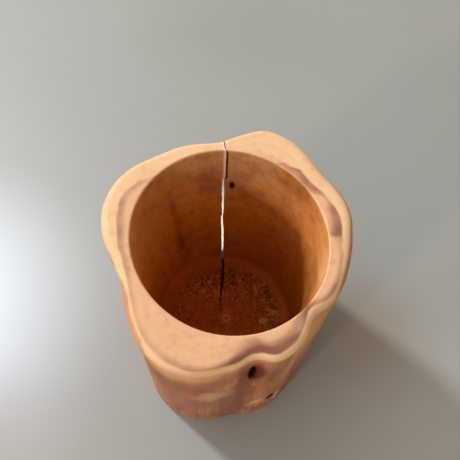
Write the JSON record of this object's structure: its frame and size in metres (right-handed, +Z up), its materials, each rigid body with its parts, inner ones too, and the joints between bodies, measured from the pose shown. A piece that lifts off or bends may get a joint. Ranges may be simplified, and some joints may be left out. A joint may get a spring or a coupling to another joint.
{
  "type": "wooden cup",
  "caption": "Natural-edge wooden cup bored from a short debarked log, with a flared lobed outside, a rounded rim, a drying crack and small knots.",
  "frame": {"origin": "where the bore's axis meets the base plane", "axes": "+Z up along the bore, out of the mouth; +Y towards the drying crack"},
  "size_m": [0.0829, 0.0845, 0.096],
  "materials": {
    "trunk_wood": "sanded bare wood, rubbed smooth, pale sapwood edge over purple-brown heartwood",
    "dark_knot": "dead knot, dark and dry",
    "pale_knot": "cut knot, end grain",
    "ingrown_bark": "rough dark bark"
  },
  "bodies": {
    "root": {"cup_body": "trunk_wood", "inner_pin_knot": "dark_knot", "floor_knot": "pale_knot", "side_knot": "dark_knot", "fold_bark": "ingrown_bark"}
  },
  "joints": []
}
